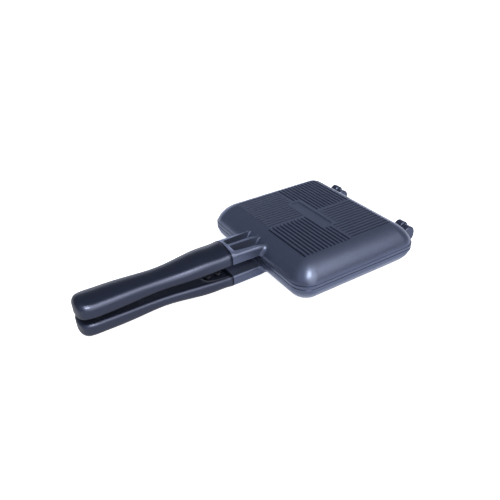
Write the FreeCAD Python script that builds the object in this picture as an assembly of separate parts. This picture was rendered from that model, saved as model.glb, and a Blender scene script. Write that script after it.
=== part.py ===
import FreeCAD, Part
import math
import os
from FreeCAD import Vector

# A hand-held double pan for toasting a filled sandwich over a flame.
# Two castings from one mould close on each other, each with a moulded grip on its stub.
# They turn on two lug-and-pin hinges at the back, and slide sideways off the pins.
# One half is drawn with its parting face on z = 0 and its outside facing +Z.
# The lower half is the same half turned over about the handle's direction, Y.
# The finished part stands on z = 0, with the pans' centre on the Z axis and the handles along -Y.

# Pan
pan_width = 150.6
pan_depth = 134.3
half_height = 21.25
rim_corner_radius = 15.6
wall_corner_radius = 16.6
corner_shrink_share = 0.65
rim_band_height = 3.0
rim_band_step = 0.4
rim_wall_height = 4.0
edge_run = 18.8
edge_power = 1.44
edge_steps = 6
seam_chamfer = 0.4

# Cooking hollow inside each pan
rim_land = 4.4
floor_thickness = 3.9
hollow_wall_height = 3.0
hollow_run = 18.0

# Grooves cast in the flat outside, a quarter at a time, the quarters turned in turn
groove_pitch = 4.0
groove_width = 1.9
groove_draft = 0.3
groove_depth = 1.0
groove_field_x = 56.8
groove_field_y = 51.2
crosswise_groove_reach = 48.9
groove_centre_gap = 2.0
plain_zone_x = 29.0
plain_zone_y = 8.2
plate_length = 52.4
plate_width = 8.8
plate_depth = 0.5
plate_corner = 1.0

# Stub cast on the front of the pan: a crowned collar at the joint, and three ribs behind it
joint_reach = 96.8
joint_height = 20.3
joint_crown_radius = 27.0
joint_outer_round = 6.0
stub_half_width = 15.6
stub_inner_height = 5.3
stub_inner_round = 2.4
stub_collar = 5.9
rib_height = 17.3
rib_wall_height = 16.9
rib_root_height = 14.6
rib_crown_radius = 75.0
rib_outer_round = 3.0
rib_width = 3.0
web_thickness = 3.0
pocket_draft = 0.5
pocket_round = 1.5
pocket_front_reach = 10.0
pocket_root_reach = 14.0
stub_root_round = 3.5
neck_length = 0.9
neck_inset = 0.6

# Tongue that runs on from the stub into the grip
tongue_length = 24.0
tongue_half_width = 12.2
tongue_end_half_width = 11.0
tongue_end_round = 8.0
tongue_thickness = 3.6
tongue_cover = 2.6
tongue_clearance = 0.25

# Grip
grip_length = 132.4
# Places along the grip, from the joint to the tip, and what it measures there
grip_place_shares = (0.0, 0.15, 0.30, 0.45, 0.60, 0.75, 0.88, 1.0)
grip_width_shares = (1.0, 0.98, 0.90, 0.78, 0.79, 0.86, 0.885)
grip_outer_shares = (1.0, 0.957, 0.85, 0.768, 0.797, 0.832, 0.832, 0.795)
grip_inner_shares = (1.0, 0.877, 0.736, 0.689, 0.604, 0.48, 0.42, 0.48)
# The squarish tip in plan, past the last width: place share, width share
grip_tip_shares = ((0.942, 0.845), (0.977, 0.695), (0.995, 0.39), (1.0, 0.0))

# Screws and moulded-in threaded inserts that hold the tongue in the grip
screw_radius = 2.0
screw_head_radius = 3.6
screw_head_height = 1.5
screw_head_chamfer = 0.5
screw_hole_clearance = 0.25
screw_thread_clearance = 0.05
screw_end_gap = 0.4
screw_drive_width = 0.9
screw_drive_length = 4.0
screw_drive_depth = 0.8
screw_first_place = 6.6
screw_spacing = 10.0
insert_radius = 3.2
insert_length = 3.8
insert_base = 0.8
insert_groove_depth = 0.4
insert_groove_width = 1.0
insert_clearance = 0.02

# Magnet let into the inner face of each grip
magnet_radius = 5.5
magnet_thickness = 3.0
magnet_clearance = 0.05
magnet_sink = 0.3
magnet_chamfer = 0.3

# Hinges
hinge_inset = 27.55
hinge_wall_gap = 0.45
knuckle_radius = 7.4
lug_width = 8.2
lug_gap = 0.4
lug_top = 8.3
lug_crest = 1.6
lug_front_round = 5.4
lug_web_height = 4.0
lug_edge_chamfer = 0.7
lug_root = 3.0
pin_radius = 2.5
pin_running_clearance = 0.04
pin_end_clearance = 0.2
pin_chamfer = 0.4
lug_end_wall = 1.8

# One length that every cutter reaches past what it cuts
overrun = 2.0

half_x = pan_width / 2
half_y = pan_depth / 2
hinge_offset = half_x - hinge_inset
hinge_y = half_y + hinge_wall_gap + knuckle_radius
joint_y = -joint_reach
rib_start_y = joint_y + stub_collar
stub_end_y = -half_y + rim_land + hollow_run / 2
tongue_low = stub_inner_height + tongue_cover
tongue_high = tongue_low + tongue_thickness
across = Vector(1, 0, 0)
along = Vector(0, 1, 0)
up = Vector(0, 0, 1)


def rounded_outline(reach_x, reach_y, radius, z):
    arcs = []
    for side_x, side_y, start in ((1, 1, 0), (-1, 1, 90), (-1, -1, 180), (1, -1, 270)):
        centre = Vector(side_x * (reach_x - radius), side_y * (reach_y - radius), z)
        arcs.append(Part.makeCircle(radius, centre, up, start, start + 90))
    edges = []
    for arc, following in zip(arcs, arcs[1:] + arcs[:1]):
        edges.append(arc)
        edges.append(Part.makeLine(arc.Vertexes[-1].Point, following.Vertexes[0].Point))
    return Part.Wire(edges)


def prism(wire, direction):
    return Part.Face(wire).extrude(direction)


def rounded_block(reach_x, reach_y, radius, low, high):
    return prism(rounded_outline(reach_x, reach_y, radius, low), Vector(0, 0, high - low))


# A low dome on a rounded outline: a sloping wall with soft rounds at its foot and its top
def dished_solid(reach_x, reach_y, radius, low, high, run):
    wires = []
    for step in range(edge_steps + 1):
        angle = math.radians(90 * step / edge_steps)
        inset = run * (1 - math.cos(angle) ** (2 / edge_power))
        height = (high - low) * math.sin(angle) ** (2 / edge_power)
        corner = radius - corner_shrink_share * inset
        wires.append(rounded_outline(reach_x - inset, reach_y - inset, corner, low + height))
    return Part.makeLoft(wires, True, False)


def pan_outside():
    band = rounded_block(half_x, half_y, rim_corner_radius, 0, rim_band_height)
    seam_edges = [edge for edge in band.Edges if edge.BoundBox.ZMax < rim_band_height / 2]
    band = band.makeChamfer(seam_chamfer, seam_edges)
    reach_x = half_x - rim_band_step
    reach_y = half_y - rim_band_step
    wall = rounded_block(reach_x, reach_y, wall_corner_radius, rim_band_height, rim_wall_height)
    dome = dished_solid(reach_x, reach_y, wall_corner_radius, rim_wall_height, half_height, edge_run)
    return band.fuse([wall, dome])


def cooking_hollow():
    reach_x = half_x - rim_land
    reach_y = half_y - rim_land
    corner = wall_corner_radius - corner_shrink_share * rim_land
    mouth = rounded_block(reach_x, reach_y, corner, -overrun, hollow_wall_height)
    floor = half_height - floor_thickness
    dish = dished_solid(reach_x, reach_y, corner, hollow_wall_height, floor, hollow_run)
    return mouth.fuse(dish)


# One groove: a shallow trough whose four sides have casting draft
def groove(low_x, low_y, high_x, high_y):
    wires = []
    for height, inset in ((half_height - groove_depth, groove_draft),
                          (half_height + groove_depth, -groove_draft)):
        corners = [Vector(low_x + inset, low_y + inset, height),
                   Vector(high_x - inset, low_y + inset, height),
                   Vector(high_x - inset, high_y - inset, height),
                   Vector(low_x + inset, high_y - inset, height)]
        wires.append(Part.makePolygon(corners + corners[:1]))
    return Part.makeLoft(wires, True, True)


# The grooves of one quarter, drawn at +X +Y, running along X or along Y
def groove_quarter(runs_along_x):
    if runs_along_x:
        along_reach, across_reach = groove_field_x, groove_field_y
        plain_along, plain_across = plain_zone_x, plain_zone_y
    else:
        along_reach, across_reach = crosswise_groove_reach, groove_field_x
        plain_along, plain_across = plain_zone_y, plain_zone_x
    grooves = []
    count = int((across_reach + groove_pitch / 2 - groove_width / 2) / groove_pitch)
    for number in range(count):
        place = (number + 1 / 2) * groove_pitch
        start = plain_along if place - groove_width / 2 < plain_across else groove_centre_gap
        side = groove_width / 2
        if runs_along_x:
            grooves.append(groove(start, place - side, along_reach, place + side))
        else:
            grooves.append(groove(place - side, start, place + side, along_reach))
    return grooves


def turned(shapes, axis, angle):
    copies = []
    for shape in shapes:
        copy = shape.copy()
        copy.rotate(Vector(0, 0, 0), axis, angle)
        copies.append(copy)
    return copies


def mirrored(shapes, normal):
    return [shape.mirror(Vector(0, 0, 0), normal) for shape in shapes]


# Grooves run along X in the front right and back left quarters, and along Y in the others
def groove_pattern():
    lengthwise = groove_quarter(True)
    crosswise = groove_quarter(False)
    pattern = mirrored(lengthwise, across) + mirrored(lengthwise, along)
    pattern += crosswise + turned(crosswise, up, 180)
    return Part.makeCompound(pattern)


def plate_recess():
    low = half_height - plate_depth
    return rounded_block(plate_length / 2, plate_width / 2, plate_corner, low, half_height + overrun)


# One cut across a stub: flat inside, straight sides, and a crowned outside with rounded shoulders
def crowned_section(y, height, crown, shoulder, inset):
    side = stub_half_width - inset
    low = stub_inner_height + inset
    corner = stub_inner_round - inset
    bend = corner * (1 - math.sqrt(1 / 2))
    turn_x = stub_half_width - shoulder
    crown_z = height - crown
    turn_z = crown_z + math.sqrt((crown - shoulder) ** 2 - turn_x ** 2)
    lean = math.atan2(turn_z - crown_z, turn_x)
    top = crown - inset
    radius = shoulder - inset
    right = [Vector(side - corner, y, low),
             Vector(side - bend, y, low + bend),
             Vector(side, y, low + corner),
             Vector(side, y, turn_z),
             Vector(turn_x + radius * math.cos(lean / 2), y, turn_z + radius * math.sin(lean / 2)),
             Vector(top * math.cos(lean), y, crown_z + top * math.sin(lean))]
    left = [Vector(-point.x, y, point.z) for point in right]
    edges = [Part.makeLine(left[0], right[0]),
             Part.Arc(right[0], right[1], right[2]).toShape(),
             Part.makeLine(right[2], right[3]),
             Part.Arc(right[3], right[4], right[5]).toShape(),
             Part.Arc(right[5], Vector(0, y, height - inset), left[5]).toShape(),
             Part.Arc(left[5], left[4], left[3]).toShape(),
             Part.makeLine(left[3], left[2]),
             Part.Arc(left[2], left[1], left[0]).toShape()]
    return Part.Wire(edges)


def joint_section(y, inset):
    return crowned_section(y, joint_height, joint_crown_radius, joint_outer_round, inset)


def ribbed_section(y, height):
    return crowned_section(y, height, rib_crown_radius, rib_outer_round, 0)


# The stub runs from the joint into the pan's wall, with a concave round where it meets the pan
def pan_with_stub(outside):
    stub = Part.makeLoft([joint_section(joint_y + neck_length, 0),
                          ribbed_section(rib_start_y, rib_height),
                          ribbed_section(-half_y, rib_wall_height),
                          ribbed_section(stub_end_y, rib_root_height)], True, True)
    joined = outside.fuse(stub)
    roots = []
    for edge in joined.Edges:
        box = edge.BoundBox
        near_stub = max(abs(box.XMin), abs(box.XMax)) < stub_half_width + overrun
        if near_stub and box.YMin > -half_y and box.YMax < stub_end_y and box.ZMin > rim_wall_height:
            roots.append(edge)
    return joined.makeFillet(stub_root_round, roots)


# A long pocket between two ribs, narrower at the floor and towards the joint, ending at the pan
def stub_pocket(side, outside):
    floor = stub_inner_height + web_thickness
    top = joint_height + overrun
    lean = pocket_draft * (top - floor) / (rib_height - floor)
    end_y = stub_end_y + overrun
    wires = []
    for height, inset in ((floor, pocket_draft), (top, pocket_draft - lean)):
        corners = [Vector(side * (rib_width / 2 + inset), rib_start_y + inset, height),
                   Vector(side * (pocket_front_reach - inset), rib_start_y + inset, height),
                   Vector(side * (pocket_root_reach - inset), end_y, height),
                   Vector(side * (rib_width / 2 + inset), end_y, height)]
        wires.append(Part.makePolygon(corners + corners[:1]))
    pocket = Part.makeLoft(wires, True, True).cut(outside)
    foot = [edge for edge in pocket.Edges if edge.BoundBox.ZMin < floor + pocket_draft]
    return pocket.makeFillet(pocket_round, foot)


# A slightly smaller stretch of stub that leaves a fine dark line in front of the grip
def neck():
    return prism(joint_section(joint_y, neck_inset), Vector(0, neck_length + overrun, 0))


# The tongue's plan, a tapered U; the grip's pocket is the same U with clearance
def tongue_outline(clearance, z, front_y):
    wide = tongue_half_width + clearance
    narrow = tongue_end_half_width + clearance
    end_y = joint_y - tongue_length - clearance
    turn = tongue_end_round + clearance
    bend = turn * (1 - math.sqrt(1 / 2))
    points = [Vector(-wide, front_y, z), Vector(-narrow, end_y + turn, z),
              Vector(-narrow + turn, end_y, z), Vector(narrow - turn, end_y, z),
              Vector(narrow, end_y + turn, z), Vector(wide, front_y, z)]
    left_bend = Vector(-narrow + bend, end_y + bend, z)
    right_bend = Vector(narrow - bend, end_y + bend, z)
    edges = [Part.makeLine(points[0], points[1]),
             Part.Arc(points[1], left_bend, points[2]).toShape(),
             Part.makeLine(points[2], points[3]),
             Part.Arc(points[3], right_bend, points[4]).toShape(),
             Part.makeLine(points[4], points[5]),
             Part.makeLine(points[5], points[0])]
    return Part.Wire(edges)


def screw_places():
    return [joint_y - screw_first_place - number * screw_spacing for number in range(2)]


def tongue():
    root = joint_y + neck_length
    blade = prism(tongue_outline(0, tongue_low, root), Vector(0, 0, tongue_thickness))
    holes = [Part.makeCylinder(screw_radius + screw_hole_clearance, tongue_thickness + 2 * overrun,
                               Vector(0, place, tongue_low - overrun))
             for place in screw_places()]
    return blade.cut(holes)


# Side view of one lug: a full round towards the other pan, and outside it a rounded eye on a low web
def lug_profile():
    back = hinge_y + knuckle_radius
    front = half_y - lug_root
    back_round = knuckle_radius - lug_crest
    back_bend = back_round * (1 - math.sqrt(1 / 2))
    crest_y = hinge_y + lug_crest
    turn_z = lug_top - lug_front_round
    sweep = math.acos((lug_web_height - turn_z) / lug_front_round)
    front_middle = Vector(0, crest_y - lug_front_round * math.sin(sweep / 2),
                          turn_z + lug_front_round * math.cos(sweep / 2))
    points = [Vector(0, front, 0), Vector(0, hinge_y - knuckle_radius, 0), Vector(0, back, 0),
              Vector(0, back, lug_top - back_round), Vector(0, crest_y, lug_top),
              Vector(0, crest_y - lug_front_round * math.sin(sweep), lug_web_height),
              Vector(0, front, lug_web_height)]
    edges = [Part.makeLine(points[0], points[1]),
             Part.Arc(points[1], Vector(0, hinge_y, -knuckle_radius), points[2]).toShape(),
             Part.makeLine(points[2], points[3]),
             Part.Arc(points[3], Vector(0, back - back_bend, lug_top - back_bend), points[4]).toShape(),
             Part.Arc(points[4], front_middle, points[5]).toShape(),
             Part.makeLine(points[5], points[6]),
             Part.makeLine(points[6], points[0])]
    return Part.Wire(edges)


# Each lug stands to the left of its hinge's middle, with a blind bore facing the middle
def lug(place):
    low_x = place - lug_gap / 2 - lug_width
    body = prism(lug_profile(), Vector(lug_width, 0, 0))
    body.translate(Vector(low_x, 0, 0))
    rims = [edge for edge in body.Edges if edge.BoundBox.XLength < lug_gap
            and edge.BoundBox.YMax > half_y + lug_root]
    return body.makeChamfer(lug_edge_chamfer, rims)


def lug_bore(place):
    radius = pin_radius + pin_running_clearance
    low_x = place - lug_gap / 2 - lug_width + lug_end_wall
    return Part.makeCylinder(radius, lug_width - lug_end_wall + overrun,
                             Vector(low_x, hinge_y, 0), across)


def pan_half():
    places = (-hinge_offset, hinge_offset)
    outside = pan_outside()
    casting = pan_with_stub(outside)
    for side in (-1, 1):
        casting = casting.cut(stub_pocket(side, outside)).removeSplitter()
    casting = casting.fuse([neck(), tongue()] + [lug(place) for place in places])
    casting = casting.cut([cooking_hollow()] + [lug_bore(place) for place in places])
    return casting.cut(groove_pattern()).removeSplitter()


def smooth_edge(points, start, end):
    curve = Part.BSplineCurve()
    curve.interpolate(Points=points, InitialTangent=start, FinalTangent=end)
    return curve.toShape()


def grip_y(share):
    return joint_y - grip_length * share


# The grip seen from above: one smooth curve down one side, round the tip and back
def grip_plan():
    side = list(zip(grip_place_shares, grip_width_shares)) + list(grip_tip_shares)
    right = [Vector(stub_half_width * width, grip_y(place), 0) for place, width in side]
    left = [Vector(-point.x, point.y, 0) for point in reversed(right[:-1])]
    outline = smooth_edge(right + left, -along, along)
    wire = Part.Wire([outline, Part.makeLine(left[-1], right[0])])
    return prism(wire, Vector(0, 0, joint_height + overrun))


# The grip's inner and outer faces, wider than its plan: flat inside and crowned outside
def grip_faces():
    reach = stub_half_width + overrun
    sag = joint_crown_radius - math.sqrt(joint_crown_radius ** 2 - reach ** 2)
    wires = []
    for place, outer, inner in zip(grip_place_shares, grip_outer_shares, grip_inner_shares):
        y = grip_y(place) if place < 1 else grip_y(place) - overrun
        low = stub_inner_height * inner
        high = joint_height * outer
        left, right = Vector(-reach, y, high - sag), Vector(reach, y, high - sag)
        foot_left, foot_right = Vector(-reach, y, low), Vector(reach, y, low)
        wires.append(Part.Wire([Part.makeLine(foot_left, foot_right), Part.makeLine(foot_right, right),
                                Part.Arc(right, Vector(0, y, high), left).toShape(),
                                Part.makeLine(left, foot_left)]))
    return Part.makeLoft(wires, True, False)


# The edges that run the length of the grip, on its outer or its inner side
def grip_long_edges(body, outer):
    middle = joint_height / 2
    return [edge for edge in body.Edges
            if edge.BoundBox.YLength > grip_length / 2 and (edge.CenterOfMass.z > middle) == outer]


def magnet_seat():
    return Vector(0, grip_y(grip_place_shares[-2]),
                  stub_inner_height * grip_inner_shares[-2] + magnet_sink)


def grip():
    body = grip_plan().common(grip_faces())
    body = body.makeFillet(joint_outer_round, grip_long_edges(body, True))
    body = body.makeFillet(stub_inner_round, grip_long_edges(body, False))
    pocket_foot = tongue_outline(tongue_clearance, 0, joint_y + overrun)
    cutters = [prism(pocket_foot, Vector(0, 0, tongue_high))]
    for place in screw_places():
        cutters.append(Part.makeCylinder(insert_radius + insert_clearance, insert_length + insert_clearance,
                                         Vector(0, place, tongue_high)))
    seat = magnet_seat()
    cutters.append(Part.makeCylinder(magnet_radius + magnet_clearance, seat.z + magnet_thickness,
                                     Vector(0, seat.y, 0)))
    return body.cut(cutters)


# A low round head under the tongue, with a cross recess, and a shank up into the insert
def screw(place):
    head = Part.makeCylinder(screw_head_radius, screw_head_height,
                             Vector(0, place, tongue_low - screw_head_height))
    rim = [edge for edge in head.Edges if edge.BoundBox.ZMax < tongue_low - screw_head_height / 2
           and edge.BoundBox.XLength > screw_head_radius]
    head = head.makeChamfer(screw_head_chamfer, rim)
    shank_length = tongue_thickness + insert_length - insert_base - screw_end_gap
    shank = Part.makeCylinder(screw_radius, shank_length, Vector(0, place, tongue_low))
    tip = [edge for edge in shank.Edges if edge.BoundBox.ZMin > tongue_high
           and edge.BoundBox.XLength > screw_radius]
    shank = shank.makeChamfer(screw_end_gap, tip)
    slots = []
    for length, width in ((screw_drive_length, screw_drive_width),
                          (screw_drive_width, screw_drive_length)):
        corner = Vector(-length / 2, place - width / 2, tongue_low - screw_head_height - overrun)
        slots.append(Part.makeBox(length, width, screw_drive_depth + overrun, corner))
    return head.fuse(shank).cut(slots)


# A brass bush with a grip groove round it and a blind hole for the screw
def insert(place):
    hole = screw_radius + screw_thread_clearance
    low = (insert_length - insert_groove_width) / 2
    waist = insert_radius - insert_groove_depth
    outline = [(hole, 0), (insert_radius, 0), (insert_radius, low), (waist, low),
               (waist, low + insert_groove_width), (insert_radius, low + insert_groove_width),
               (insert_radius, insert_length), (0, insert_length),
               (0, insert_length - insert_base), (hole, insert_length - insert_base)]
    points = [Vector(radius, 0, height) for radius, height in outline]
    body = Part.Face(Part.makePolygon(points + points[:1])).revolve(Vector(0, 0, 0), up, 360)
    body.translate(Vector(0, place, tongue_high))
    return body


def chamfered_disc(radius, length, chamfer, foot, direction):
    disc = Part.makeCylinder(radius, length, foot, direction)
    rims = [edge for edge in disc.Edges if isinstance(edge.Curve, Part.Circle)]
    return disc.makeChamfer(chamfer, rims)


def magnet():
    return chamfered_disc(magnet_radius, magnet_thickness, magnet_chamfer, magnet_seat(), up)


# The pin reaches from the blind end of one lug's bore to that of its neighbour
def hinge_pin(place):
    reach = lug_gap / 2 + lug_width - lug_end_wall - pin_end_clearance
    return chamfered_disc(pin_radius, 2 * reach, pin_chamfer,
                          Vector(place - reach, hinge_y, 0), across)


# Sets a half's piece in the finished part, the lower half turned over
def seated(shape, lower):
    placed = shape.copy()
    if lower:
        placed.rotate(Vector(0, 0, 0), along, 180)
    placed.translate(Vector(0, 0, half_height))
    return placed


def main():
    casting = pan_half()
    pieces = {
        "upper_pan": seated(casting.cut(plate_recess()), False),
        "lower_pan": seated(casting, True),
        "left_hinge_pin": seated(hinge_pin(-hinge_offset), False),
        "right_hinge_pin": seated(hinge_pin(hinge_offset), False),
    }
    grip_body = grip()
    screws = Part.makeCompound([screw(place) for place in screw_places()])
    inserts = Part.makeCompound([insert(place) for place in screw_places()])
    for side, lower in (("upper", False), ("lower", True)):
        pieces[side + "_grip"] = seated(grip_body, lower)
        pieces[side + "_grip_screws"] = seated(screws, lower)
        pieces[side + "_grip_inserts"] = seated(inserts, lower)
        pieces[side + "_magnet"] = seated(magnet(), lower)
    os.makedirs("parts", exist_ok=True)
    for name, shape in pieces.items():
        shape.exportStep("parts/" + name + ".step")
        print(name, "solids", len(shape.Solids), "valid", shape.isValid(), "volume", round(shape.Volume))


if __name__ == "__main__":
    main()
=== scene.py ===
import bpy
import math
from mathutils import Matrix, Vector

# Pie iron: looks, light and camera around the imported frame. Metres, +Z up.
print("loading the packed frame")
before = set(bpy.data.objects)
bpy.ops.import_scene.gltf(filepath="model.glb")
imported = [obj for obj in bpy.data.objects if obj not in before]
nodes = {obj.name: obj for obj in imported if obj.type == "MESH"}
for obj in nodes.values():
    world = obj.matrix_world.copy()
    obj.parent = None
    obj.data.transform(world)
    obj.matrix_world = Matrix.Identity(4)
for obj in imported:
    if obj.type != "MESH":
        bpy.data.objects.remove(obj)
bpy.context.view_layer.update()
mm = 0.001
white = [1.0, 1.0, 1.0, 1.0]


def linear(hexColour):
    channels = [int(hexColour[place:place + 2], 16) / 255 for place in (1, 3, 5)]
    return [c / 12.92 if c <= 0.04045 else ((c + 0.055) / 1.055) ** 2.4 for c in channels] + [1.0]


def addNode(tree, kind, inputs=None, **settings):
    # an input is either a plain value or the output that feeds it
    node = tree.nodes.new("ShaderNode" + kind)
    for name, value in settings.items():
        setattr(node, name, value)
    for socket, value in (inputs or {}).items():
        if isinstance(value, bpy.types.NodeSocket):
            tree.links.new(value, node.inputs[socket])
        else:
            node.inputs[socket].default_value = value
    return node


def newMaterial(name):
    material = bpy.data.materials.new(name)
    material.use_nodes = True
    material.node_tree.nodes.clear()
    return material, material.node_tree


def direction(azimuth, elevation):
    # degrees: azimuth 0 is in front of the handles and 90 at the right, elevation 0 is level
    around, up = math.radians(azimuth), math.radians(elevation)
    return Vector((math.sin(around) * math.cos(up), -math.cos(around) * math.cos(up), math.sin(up)))


# Die-cast aluminium under a sprayed non-stick coating, blue-grey with fine metal flake in it.
# The spray leaves a satin skin with a low orange peel. The high ribs of the stubs get a painted
# highlight, and painted shade darkens the grooves, the seam, the line at the grip and the hinge lugs.
panCoating = {
    "colour": "#6b7287",
    "deepColour": "#61687d",
    # painted highlight on the tops of the stubs' ribs
    "crownHighlightColour": "#8f97af",
    # painted shade in the grooves, the seam, at the grip and over the hinge lugs
    "cavityShadeColour": "#1a1f33",
    "metallic": 0.72,
    "roughness": 0.34,
    "roughnessSpread": 0.05,
    "peelSize": 1.6,  # mm, from crest to crest
    "peelHeight": 0.004,  # mm
    "peelDetail": 2.0,
    "flakeSize": 0.7,  # mm; a real flake is 0.05 mm, drawn this coarse so that it shows
    "flakeDark": 0.94, "flakeLight": 1.06,
    "cloudSize": 22.0,  # mm, slow drift of the spray
    "cloudDetail": 3.0,
    # how strongly the painted shade darkens each place
    "grooveShare": 1.0, "seamShare": 0.85, "neckShare": 0.85, "hingeShare": 0.42,
    "middleHeight": 21.25,  # mm, where the two pans meet
    "grooveFoot": 20.6, "grooveBand": 1.0,  # mm from the middle, and how far below it a floor lies
    "grooveReach": (57.2, 51.6),  # mm from the pans' centre, across and along
    "seamHalf": 0.42, "seamReach": 67.1,  # mm
    "neckEnd": -95.45, "hingeStart": 68.4,  # mm from the pans' centre
    # where the painted highlight on the rib tops lies
    "crownHeight": 11.0, "crownStart": -60.0, "crownFull": -72.0,  # mm
    # how upright a normal is on a groove's floor, in the seam and on a rib
    "flatNormal": 0.998, "steepNormal": 0.95, "crownNormal": 0.7,
}


def whereAllHold(tree, tests):
    # 1 where every test holds and 0 elsewhere
    share = 1.0
    for value, operation, limit in tests:
        test = addNode(tree, "Math", {0: value, 1: limit}, operation=operation)
        both = addNode(tree, "Math", {0: share, 1: test.outputs[0]}, operation="MULTIPLY")
        share = both.outputs[0]
    return share


# masks for the painted shade and the painted highlight on the coating
def paintedLightMasks(tree, coordinates, plan):
    place = coordinates.outputs["Object"]
    middle = (0.0, 0.0, plan["middleHeight"] * mm)
    offset = addNode(tree, "VectorMath", {0: place, 1: middle}, operation="SUBTRACT")
    lengthwise = addNode(tree, "SeparateXYZ", {0: offset.outputs[0]}).outputs["Y"]
    reach = addNode(tree, "VectorMath", {0: offset.outputs[0]}, operation="ABSOLUTE")
    side, along, height = addNode(tree, "SeparateXYZ", {0: reach.outputs[0]}).outputs
    normal = addNode(tree, "VectorMath", {0: coordinates.outputs["Normal"]}, operation="ABSOLUTE")
    upright = addNode(tree, "SeparateXYZ", {0: normal.outputs[0]}).outputs["Z"]

    foot = plan["grooveFoot"] * mm
    reachSide, reachAlong = plan["grooveReach"]
    # painted shade: the places it darkens and the tests for each
    paintedShadeTests = {
        "grooveShare": [(upright, "GREATER_THAN", plan["flatNormal"]), (height, "LESS_THAN", foot),
                        (height, "GREATER_THAN", foot - plan["grooveBand"] * mm),
                        (side, "LESS_THAN", reachSide * mm), (along, "LESS_THAN", reachAlong * mm)],
        "seamShare": [(height, "LESS_THAN", plan["seamHalf"] * mm),
                      (upright, "LESS_THAN", plan["steepNormal"]),
                      (along, "LESS_THAN", plan["seamReach"] * mm)],
        # painted shade on the dark line at the grip and on what the grip covers
        "neckShare": [(lengthwise, "LESS_THAN", plan["neckEnd"] * mm)],  # the line at the grip too
        "hingeShare": [(lengthwise, "GREATER_THAN", plan["hingeStart"] * mm)],
    }
    # painted shade, the strongest share wherever the places overlap
    cavity = 0.0
    for share, tests in paintedShadeTests.items():
        paintedShadeHere = addNode(tree, "Math", {0: whereAllHold(tree, tests), 1: plan[share]},
                        operation="MULTIPLY")
        most = addNode(tree, "Math", {0: cavity, 1: paintedShadeHere.outputs[0]}, operation="MAXIMUM")
        cavity = most.outputs[0]

    # painted highlight on the tops of the stubs' ribs, growing from crownStart to crownFull
    crown = whereAllHold(tree, [(height, "GREATER_THAN", plan["crownHeight"] * mm),
                                (upright, "GREATER_THAN", plan["crownNormal"])])
    start = addNode(tree, "MapRange", {"Value": lengthwise, "From Min": plan["crownStart"] * mm,
                                       "From Max": plan["crownFull"] * mm})
    crown = addNode(tree, "Math", {0: crown, 1: start.outputs[0]}, operation="MULTIPLY").outputs[0]
    return cavity, crown


def makePanCoating(plan):
    material, tree = newMaterial("sprayedNonStickAluminium")
    coordinates = addNode(tree, "TexCoord")
    place = coordinates.outputs["Object"]
    cavity, crown = paintedLightMasks(tree, coordinates, plan)
    cloud = addNode(tree, "TexNoise", {"Vector": place, "Scale": 1 / (plan["cloudSize"] * mm),
                                       "Detail": plan["cloudDetail"]})
    peel = addNode(tree, "TexNoise", {"Vector": place, "Scale": 1 / (plan["peelSize"] * mm),
                                      "Detail": plan["peelDetail"]})
    flake = addNode(tree, "TexVoronoi", {"Vector": place, "Scale": 1 / (plan["flakeSize"] * mm)})
    flakeShade = addNode(tree, "MapRange", {"Value": flake.outputs["Color"],
                                            "To Min": plan["flakeDark"], "To Max": plan["flakeLight"]})
    coat = addNode(tree, "Mix", {"Factor": cloud.outputs["Fac"], "A": linear(plan["colour"]),
                                 "B": linear(plan["deepColour"])}, data_type="RGBA")
    # painted highlight on the tops of the stubs' ribs
    highlightedCoat = addNode(tree, "Mix", {"Factor": crown, "A": coat.outputs["Result"],
                                    "B": linear(plan["crownHighlightColour"])}, data_type="RGBA")
    sparkled = addNode(tree, "VectorMath", {0: highlightedCoat.outputs["Result"],
                                            "Scale": flakeShade.outputs[0]}, operation="SCALE")
    # painted shade in the grooves, the seam, at the grip and over the hinge lugs
    shadedCoat = addNode(tree, "Mix", {"Factor": cavity, "A": sparkled.outputs[0],
                                    "B": linear(plan["cavityShadeColour"])}, data_type="RGBA")
    rough = addNode(tree, "MapRange", {"Value": cloud.outputs["Fac"],
                                       "To Min": plan["roughness"] - plan["roughnessSpread"],
                                       "To Max": plan["roughness"] + plan["roughnessSpread"]})
    bump = addNode(tree, "Bump", {"Height": peel.outputs["Fac"], "Distance": plan["peelHeight"] * mm})
    shader = addNode(tree, "BsdfPrincipled", {"Base Color": shadedCoat.outputs["Result"],
                                              "Metallic": plan["metallic"],
                                              "Roughness": rough.outputs[0],
                                              "Normal": bump.outputs[0]})
    addNode(tree, "OutputMaterial", {"Surface": shader.outputs[0]})
    return material


# Phenolic moulding powder pressed in a steel mould: near black, satin, a little mottled, with
# soft edges. The fine grain of the mould dulls the skin where it is seen at a low angle.
gripPlastic = {
    "colour": "#12151f",
    "mottleColour": "#171b26",
    "shineColour": "#d4dcff",
    "refraction": 1.65,
    "roughness": 0.3,
    "roughnessSpread": 0.04,
    "frontGloss": 1.25, "rimGloss": 0.08,
    "glossEnd": 0.75,  # how far the skin has turned from the eye there, 1 at the rim
    "grainSize": 0.9,  # mm; the real grain is half that, drawn coarser so that it shows
    "grainHeight": 0.005,  # mm
    "grainDetail": 3.0,
    "mottleSize": 9.0,  # mm
    "mottleDetail": 4.0,
    "edgeRound": 3.0,  # mm
    "edgeSamples": 6,
}


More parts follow.
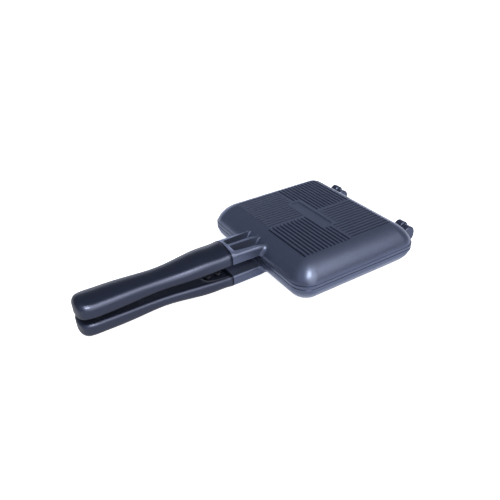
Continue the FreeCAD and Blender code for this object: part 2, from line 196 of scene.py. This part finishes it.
def makeGripPlastic(plan):
    material, tree = newMaterial("mouldedPhenolic")
    place = addNode(tree, "TexCoord").outputs["Object"]
    mottle = addNode(tree, "TexNoise", {"Vector": place, "Scale": 1 / (plan["mottleSize"] * mm),
                                        "Detail": plan["mottleDetail"]})
    grain = addNode(tree, "TexNoise", {"Vector": place, "Scale": 1 / (plan["grainSize"] * mm),
                                       "Detail": plan["grainDetail"]})
    colour = addNode(tree, "Mix", {"Factor": mottle.outputs["Fac"], "A": linear(plan["colour"]),
                                   "B": linear(plan["mottleColour"])}, data_type="RGBA")
    rough = addNode(tree, "MapRange", {"Value": mottle.outputs["Fac"],
                                       "To Min": plan["roughness"] - plan["roughnessSpread"],
                                       "To Max": plan["roughness"] + plan["roughnessSpread"]})
    softEdge = addNode(tree, "Bevel", {"Radius": plan["edgeRound"] * mm}, samples=plan["edgeSamples"])
    bump = addNode(tree, "Bump", {"Height": grain.outputs["Fac"],
                                  "Distance": plan["grainHeight"] * mm, "Normal": softEdge.outputs[0]})
    turned = addNode(tree, "LayerWeight", {"Normal": softEdge.outputs[0]}).outputs["Facing"]
    gloss = addNode(tree, "MapRange", {"Value": turned, "From Max": plan["glossEnd"],
                                       "To Min": plan["frontGloss"], "To Max": plan["rimGloss"]})
    shader = addNode(tree, "BsdfPrincipled", {"Base Color": colour.outputs["Result"],
                                              "Roughness": rough.outputs[0],
                                              "IOR": plan["refraction"],
                                              "Specular IOR Level": gloss.outputs[0],
                                              "Specular Tint": linear(plan["shineColour"]),
                                              "Normal": bump.outputs[0]})
    addNode(tree, "OutputMaterial", {"Surface": shader.outputs[0]})
    return material


# Small metal pieces: blackened, ground, turned or plated, each with fine marks left by its making.
# Marks are in mm and drawn coarser than real ones, so that they show.
smallMetals = {
    "blackenedSteel": {"colour": "#55575e", "roughness": 0.42, "markSize": 0.5, "markHeight": 0.004},
    "groundSteelPin": {"colour": "#a7a9ad", "roughness": 0.24, "markSize": 0.35, "markHeight": 0.004},
    "turnedBrass": {"colour": "#c9a75c", "roughness": 0.28, "markSize": 0.4, "markHeight": 0.005},
    "nickelPlatedMagnet": {"colour": "#c4c0b6", "roughness": 0.18, "markSize": 1.5, "markHeight": 0.003},
}
metalMarks = {"detail": 2.0, "dark": 0.9, "light": 1.05, "smooth": 0.8, "rough": 1.3}


def makeSmallMetal(name, plan, marks):
    material, tree = newMaterial(name)
    place = addNode(tree, "TexCoord").outputs["Object"]
    mark = addNode(tree, "TexNoise", {"Vector": place, "Scale": 1 / (plan["markSize"] * mm),
                                      "Detail": marks["detail"]}).outputs["Fac"]
    shade = addNode(tree, "MapRange", {"Value": mark, "To Min": marks["dark"],
                                       "To Max": marks["light"]})
    colour = addNode(tree, "VectorMath", {0: linear(plan["colour"])[:3], "Scale": shade.outputs[0]},
                     operation="SCALE")
    rough = addNode(tree, "MapRange", {"Value": mark, "To Min": plan["roughness"] * marks["smooth"],
                                       "To Max": plan["roughness"] * marks["rough"]})
    bump = addNode(tree, "Bump", {"Height": mark, "Distance": plan["markHeight"] * mm})
    shader = addNode(tree, "BsdfPrincipled", {"Base Color": colour.outputs[0], "Metallic": 1.0,
                                              "Roughness": rough.outputs[0],
                                              "Normal": bump.outputs[0]})
    addNode(tree, "OutputMaterial", {"Surface": shader.outputs[0]})
    return material


def finishNode(name, material):
    node = nodes[name]
    node.data.materials.clear()
    node.data.materials.append(material)


print("materials")
coating = makePanCoating(panCoating)
plastic = makeGripPlastic(gripPlastic)
metals = {name: makeSmallMetal(name, plan, metalMarks) for name, plan in smallMetals.items()}
for side in ("upper", "lower"):
    finishNode(side + "_pan", coating)
    finishNode(side + "_grip", plastic)
    finishNode(side + "_grip_screws", metals["blackenedSteel"])
    finishNode(side + "_grip_inserts", metals["turnedBrass"])
    finishNode(side + "_magnet", metals["nickelPlatedMagnet"])
for side in ("left", "right"):
    finishNode(side + "_hinge_pin", metals["groundSteelPin"])


# White paper floor, wide enough to fill the picture, matt as uncoated paper is
floorPlan = {
    "colour": "#f7f7f7", "halfSize": 9.0, "roughness": 0.9,  # m
    "cameraGlow": 0.92,  # added where the camera sees the floor
    "mirrorColour": "#e1e8ff", "mirrorGlow": 0.526,  # added where mirrors see it
    "glowStart": -110.0, "glowEnd": -45.0, "glowRest": 0.168,  # mm; it fades towards the handles
}


def makeFloor(plan):
    reach = plan["halfSize"]
    mesh = bpy.data.meshes.new("floor")
    corners = [(-reach, -reach, 0), (reach, -reach, 0), (reach, reach, 0), (-reach, reach, 0)]
    mesh.from_pydata(corners, [], [range(len(corners))])
    floor = bpy.data.objects.new("floor", mesh)
    bpy.context.scene.collection.objects.link(floor)
    material, tree = newMaterial("whitePaper")
    paper = addNode(tree, "BsdfDiffuse", {"Color": linear(plan["colour"]),
                                          "Roughness": plan["roughness"]})
    ray = addNode(tree, "LightPath").outputs
    mirrored = addNode(tree, "Math", {0: ray["Is Glossy Ray"], 1: ray["Is Transmission Ray"]},
                       operation="MAXIMUM").outputs[0]
    place = addNode(tree, "TexCoord").outputs["Object"]
    along = addNode(tree, "SeparateXYZ", {0: place}).outputs["Y"]
    fade = addNode(tree, "MapRange", {"Value": along, "From Min": plan["glowStart"] * mm,
                                      "From Max": plan["glowEnd"] * mm, "To Min": plan["glowRest"],
                                      "To Max": plan["mirrorGlow"]})
    mirrorGlow = addNode(tree, "Math", {0: mirrored, 1: fade.outputs[0]}, operation="MULTIPLY")
    level = addNode(tree, "Math", {0: ray["Is Camera Ray"], 1: plan["cameraGlow"],
                                   2: mirrorGlow.outputs[0]}, operation="MULTIPLY_ADD")
    tint = addNode(tree, "Mix", {"Factor": mirrored, "A": white, "B": linear(plan["mirrorColour"])},
                   data_type="RGBA")
    glow = addNode(tree, "Emission", {"Color": tint.outputs["Result"],
                                      "Strength": level.outputs[0]})
    shader = addNode(tree, "AddShader", {0: paper.outputs[0], 1: glow.outputs[0]})
    addNode(tree, "OutputMaterial", {"Surface": shader.outputs[0]})
    mesh.materials.append(material)


# Suns stand in for softboxes: even over the whole floor, and as wide as their angle in degrees
lampPlan = {
    "keyBox": {"azimuth": 77.0, "elevation": 52.0, "width": 14.0,
               "strength": 1.1845, "colour": "#fcfffc"},
    "sideBox": {"azimuth": 92.0, "elevation": 28.0, "width": 55.0,
                "strength": 0.9215, "colour": "#fffdfb"},
    "backBox": {"azimuth": 120.0, "elevation": 42.0, "width": 36.0,
                "strength": 0.3783, "colour": "#fffdfb"},
    "backStrip": {"azimuth": 126.0, "elevation": 42.0, "width": 9.0,
                  "strength": 0.04, "colour": "#f9fcff"},
    "frontBox": {"azimuth": 30.0, "elevation": 46.0, "width": 60.0,
                 "strength": 0.264, "colour": "#dbe7ff"},
}


def makeLamps(plan):
    for name, lamp in plan.items():
        data = bpy.data.lights.new(name, "SUN")
        data.energy = lamp["strength"]
        data.color = linear(lamp["colour"])[:3]
        data.angle = math.radians(lamp["width"])
        sun = bpy.data.objects.new(name, data)
        bpy.context.scene.collection.objects.link(sun)
        towards = direction(lamp["azimuth"], lamp["elevation"])
        sun.rotation_mode = "QUATERNION"
        sun.rotation_quaternion = towards.to_track_quat("Z", "Y")


# The room: dim and bluish all round, with a white sweep low behind the object, seen from the
# camera, and a white wall that only the camera sees past the floor
roomPlan = {
    "colour": "#d6e2ff", "dim": 0.2365,
    "sweepColour": "#e5e9ff", "sweep": 1.98,
    "azimuth": 239.0,
    # full up to sweepTop and gone at sweepEnd, as sines of the elevation
    "sweepTop": 0.10, "sweepEnd": 0.33,
    # gone at sideStart and full from sideEnd on, as cosines of the angle from its middle
    "sideStart": 0.55, "sideEnd": 0.9,
    "wallGlow": 1.0,
}


def makeRoom(plan):
    world = bpy.data.worlds.new("room")
    bpy.context.scene.world = world
    world.use_nodes = True
    tree = world.node_tree
    tree.nodes.clear()
    way = addNode(tree, "TexCoord").outputs["Generated"]
    height = addNode(tree, "SeparateXYZ", {0: way}).outputs["Z"]
    middle = direction(plan["azimuth"], 0.0)
    facing = addNode(tree, "VectorMath", {0: way, 1: middle}, operation="DOT_PRODUCT").outputs["Value"]
    low = addNode(tree, "MapRange", {"Value": height, "From Min": plan["sweepEnd"],
                                     "From Max": plan["sweepTop"]})
    behind = addNode(tree, "MapRange", {"Value": facing, "From Min": plan["sideStart"],
                                        "From Max": plan["sideEnd"]})
    sweep = addNode(tree, "Math", {0: low.outputs[0], 1: behind.outputs[0]}, operation="MULTIPLY")
    share = sweep.outputs[0]
    colour = addNode(tree, "Mix", {"Factor": share, "A": linear(plan["colour"]),
                                   "B": linear(plan["sweepColour"])}, data_type="RGBA")
    level = addNode(tree, "MapRange", {"Value": share, "To Min": plan["dim"], "To Max": plan["sweep"]})
    light = addNode(tree, "Background", {"Color": colour.outputs["Result"],
                                         "Strength": level.outputs[0]})
    wall = addNode(tree, "Background", {"Color": white, "Strength": plan["wallGlow"]})
    cameraRay = addNode(tree, "LightPath").outputs["Is Camera Ray"]
    room = addNode(tree, "MixShader", {0: cameraRay, 1: light.outputs[0], 2: wall.outputs[0]})
    addNode(tree, "OutputWorld", {"Surface": room.outputs[0]})


# The photograph's camera, fitted to the object's outline
cameraPlan = {
    "azimuth": 58.526, "elevation": 32.327, "roll": -1.641,  # degrees
    "place": (340.343, -277.103, 278.128),  # mm
    "lens": 37.536, "sensor": 36.0,  # mm
    "clipEnd": 50.0,  # m
}


def makeCamera(plan):
    back = direction(plan["azimuth"], plan["elevation"])
    right = direction(plan["azimuth"] + 90.0, 0.0)
    up = back.cross(right)
    roll = math.radians(plan["roll"])
    rolledRight = math.cos(roll) * right + math.sin(roll) * up
    rolledUp = math.cos(roll) * up - math.sin(roll) * right
    data = bpy.data.cameras.new("camera")
    data.lens = plan["lens"]
    data.sensor_width = plan["sensor"]
    data.clip_end = plan["clipEnd"]
    camera = bpy.data.objects.new("camera", data)
    bpy.context.scene.collection.objects.link(camera)
    turn = Matrix((rolledRight, rolledUp, back)).transposed().to_4x4()
    camera.matrix_world = Matrix.Translation(Vector(plan["place"]) * mm) @ turn
    bpy.context.scene.camera = camera


print("floor, light and camera")
makeFloor(floorPlan)
makeLamps(lampPlan)
makeRoom(roomPlan)
makeCamera(cameraPlan)
bpy.context.scene.view_settings.view_transform = "Standard"
